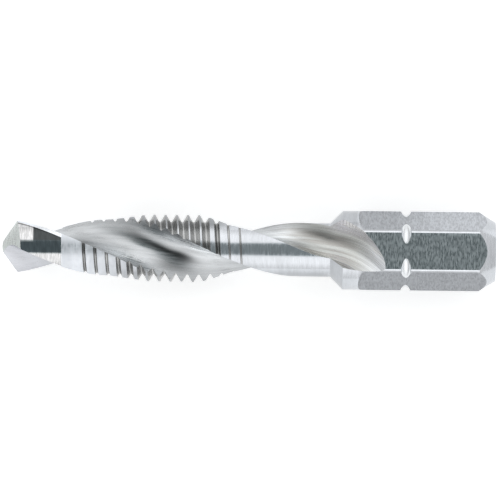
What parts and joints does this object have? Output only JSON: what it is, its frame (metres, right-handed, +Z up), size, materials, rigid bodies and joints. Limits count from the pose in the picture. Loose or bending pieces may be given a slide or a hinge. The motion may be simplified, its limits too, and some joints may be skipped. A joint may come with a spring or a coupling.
{
  "type": "combination tap drill",
  "caption": "Short bit that drills and threads a hole in one pass: a fluted drill point, a tapered tap section and a hexagonal shank with a detent groove.",
  "frame": {"origin": "on the surface that the bit lies on, under the middle of its bounding box", "axes": "+X along the bit's axis towards the end of the shank, so the point looks to -X; +Z up, square to one hexagon flat; +Y across"},
  "size_m": [0.044, 0.007, 0.0063],
  "materials": {
    "steel": "bright ground high-speed steel with fine grinding lines"
  },
  "bodies": {
    "root": {"tap_drill": "steel"}
  },
  "joints": []
}
